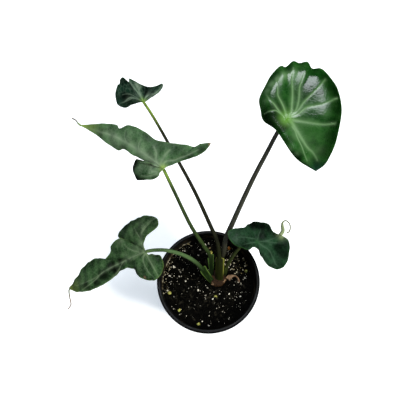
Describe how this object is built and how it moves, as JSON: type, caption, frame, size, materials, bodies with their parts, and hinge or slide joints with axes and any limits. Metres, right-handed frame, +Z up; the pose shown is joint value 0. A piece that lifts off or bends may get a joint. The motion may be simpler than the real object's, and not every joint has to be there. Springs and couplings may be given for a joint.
{
  "type": "potted alocasia",
  "caption": "Young alocasia with wavy shield-shaped leaves on long arching stalks, rising from a corm in a round black nursery pot of potting mix.",
  "frame": {"origin": "On the surface the pot stands on, under the centre of its base", "axes": "+Z up along the pot's axis, +X to the plant's right, +Y to its back, where the taller leaf stalks lean"},
  "size_m": [0.2478, 0.1804, 0.2718],
  "materials": {
    "pot_plastic": "satin",
    "potting_mix": "matte",
    "corm_skin": "matte",
    "dry_sheath": "matte",
    "dark_stalk": "satin",
    "green_stalk": "satin",
    "glossy_leaf": "glossy",
    "satin_leaf": "satin"
  },
  "bodies": {
    "root": {"pot": "pot_plastic", "soil": "potting_mix", "corm": "corm_skin", "dried_sheath": "dry_sheath", "stalk_a": "dark_stalk", "blade_a": "glossy_leaf", "stalk_b": "dark_stalk", "blade_b": "satin_leaf", "stalk_c": "green_stalk", "blade_c": "satin_leaf", "stalk_d": "green_stalk", "blade_d": "satin_leaf", "stalk_e": "green_stalk", "blade_e": "satin_leaf"}
  },
  "joints": []
}
